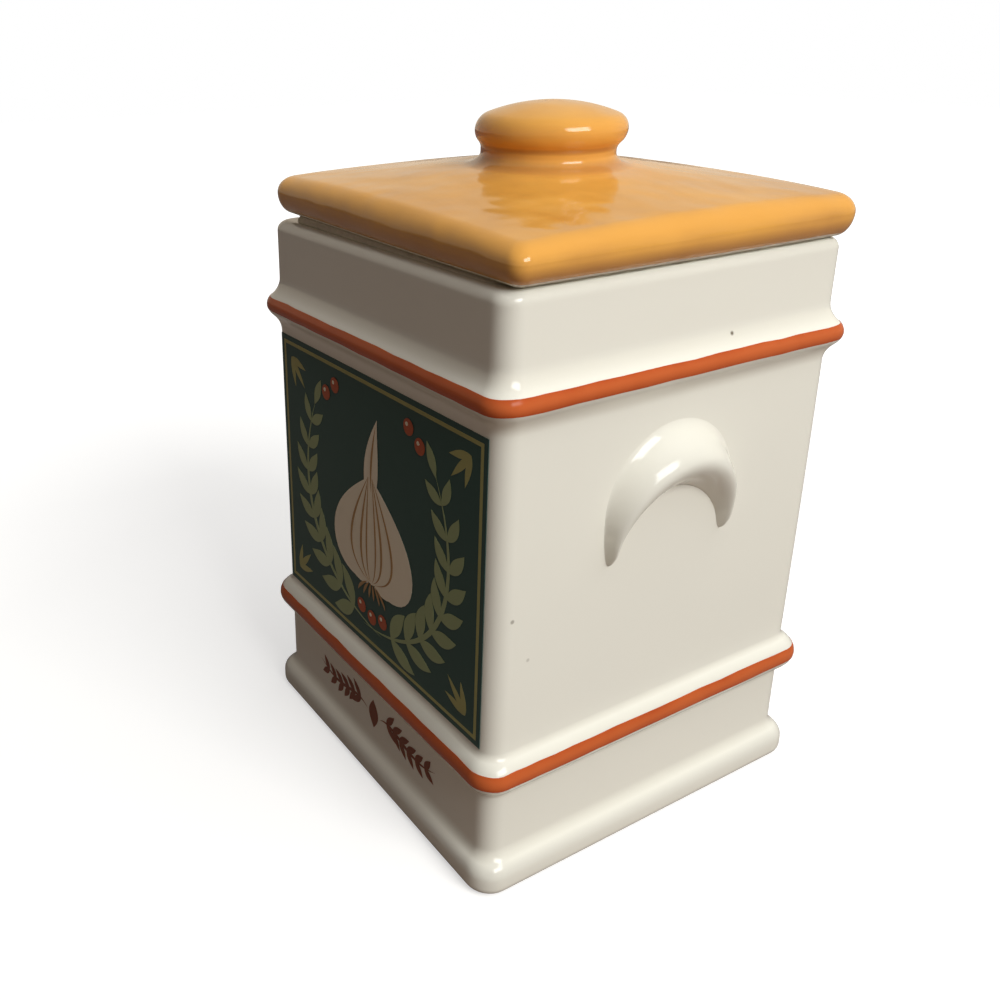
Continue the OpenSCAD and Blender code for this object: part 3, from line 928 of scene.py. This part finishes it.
# The middle of the lower edge takes the darker pooled colour: in part pooled glaze, in part painted
# shade under the plate's edge.
for k, (x, z, depth) in enumerate(arc(0, 0, 1, -90, 0, POOLED, edge_steps)):
    clay = min(1, max(0, 0.5 + (glaze_line - k) * clay_fade))
    add_ring(plate_ring(lid_low_r * (x - 1), plate_z + lid_low_h * (z + 1)), depth, clay)
high_edge = arc(-lid_high_r, lid_top - lid_high_r, lid_high_r, 0, 90, THIN, edge_steps)
for k, (d, z, depth) in enumerate(high_edge):
    share = math.sin(math.pi / 2 * k / edge_steps)
    add_ring([crowned(p, share) for p in plate_ring(d, z)], depth)
fillet_x = neck_r + knob_foot_w
for k in range(1, top_steps):
    half = crown_span + (fillet_x + 0.3 - crown_span) * (k / top_steps)
    square = ring(half, lid_r - lid_high_r + 0.5 * k, lid_top)
    add_ring([crowned(p, 1) for p in rounded(square, (k / top_steps) ** 1.5)])

# Up the knob: the fillet at its foot, the neck's hollow, its edge and its dome
fillet_z = crowned(Vector((fillet_x, 0, lid_top)), 1).z
lip_out = knob_r - neck_r
tilt = lean(lip_out, knob_edge_r, knob_cove_r)
cove_z = knob_z - (knob_edge_r + knob_cove_r) * math.sin(math.radians(tilt))
edge_x = knob_r - knob_edge_r
dome_r = edge_x ** 2 + knob_dome_h ** 2 - knob_edge_r ** 2
dome_r /= 2 * (knob_dome_h - knob_edge_r)
dome_z = knob_top - dome_r
dome_angle = math.degrees(math.atan2(knob_z - dome_z, edge_x))
knob_section = []
# The foot fillet and the neck's hollow take the darker pooled colour: in part pooled glaze, in part
# painted shade under the knob's head.
for x, z, depth in arc(0, 0, 1, 270, 180, POOLED, edge_steps):
    knob_section.append((fillet_x + knob_foot_w * x, fillet_z + knob_foot_h * (1 + z), depth))
knob_section += arc(neck_r + knob_cove_r, cove_z, knob_cove_r, 180, 180 - tilt, POOLED, steps=6)
knob_section += arc(edge_x, knob_z, knob_edge_r, -tilt, dome_angle, THIN, edge_steps)[1:]
knob_section += arc(0, dome_z, dome_r, dome_angle, pole_angle, EVEN, steps=14)[1:]
for x, z, depth in knob_section:
    add_ring(rounded(ring(x, x * 0.4, z), 1), depth)


def lid_fired(point):
    """Where a point of the lid ends up after firing. Its lean and bends die out down the seat."""
    shift = noise.noise_vector(point / lid_bend_span + lid_bend) * bend_pull + lid_slide
    shift += plate_slide * min(1, math.hypot(point.x, point.y) / lid_half) ** 2
    shift += near_slide * nearness(point)
    shift += knob_slide * max(0, (point.z - cove_z) / (knob_top - cove_z))
    under = max(0, min(1, (lid_top - point.z) / lid_h))
    shift.z += lid_lean * point.x - near_droop * nearness(point) * (1 - under)
    shift.z += (lid_wedge * point.y - lid_sag) * under
    return point + shift * max(0, min(1, (point.z - rim_z) / lid_seat))


lid_mesh = bmesh.new()
ceiling, tip = skin(lid_mesh, [[lid_fired(p) for p in points] for points in rings], depths, bare)
close_pole(lid_mesh, ceiling)
close_pole(lid_mesh, tip)
make_piece(lid_mesh, "lid_casting", "lid", ["lid"], [amber_glaze], crease=60)


# Seal
# A pale silicone ring in a groove round the lid's plug. Its three soft lips stand close to the
# jar's inside wall and keep the spice dry.
seal_lips = 3
seal_gap = 0.3
lip_root = 0.05
lip_blunt = 0.12
lip_shares = (0.24, 0.33, 0.42)
milky_dark = (0.74, 0.73, 0.68, 1)
milky_light = (0.82, 0.81, 0.77, 1)
silicone = bpy.data.materials.new("seal_rubber")
silicone.use_nodes = True
tree = silicone.node_tree
rubber = tree.nodes["Principled BSDF"]
where = node(tree, "TexCoord").outputs["Object"]
cloudy = cloud(tree, where, 220, 3)
tree.links.new(mixed(tree, cloudy, milky_dark, milky_light), rubber.inputs["Base Color"])
tree.links.new(math_node(tree, "MULTIPLY_ADD", cloudy, 0.2, 0.35), rubber.inputs["Roughness"])
lip_h = (groove_high - groove_low) / seal_lips
lip_reach = panel_half - wall - seal_gap - plug_half
seal_section = [(-groove, groove_low)]
for k in range(seal_lips):
    foot = groove_low + k * lip_h
    low, tip, high = (foot + lip_h * share for share in lip_shares)
    seal_section += [(0, foot + lip_root), (lip_reach - lip_blunt, low), (lip_reach, tip),
                     (lip_reach - lip_blunt, high), (0, foot + lip_h - lip_root)]
seal_section += [(-groove, groove_high), (-groove, groove_low)]
seal = bmesh.new()
skin(seal, [ring(plug_half + d, plug_corner + d, z) for d, z in seal_section])
bmesh.ops.remove_doubles(seal, verts=seal.verts, dist=weld)
make_piece(seal, "seal_ring", "lid", ["lid_seal"], [silicone], crease=60)
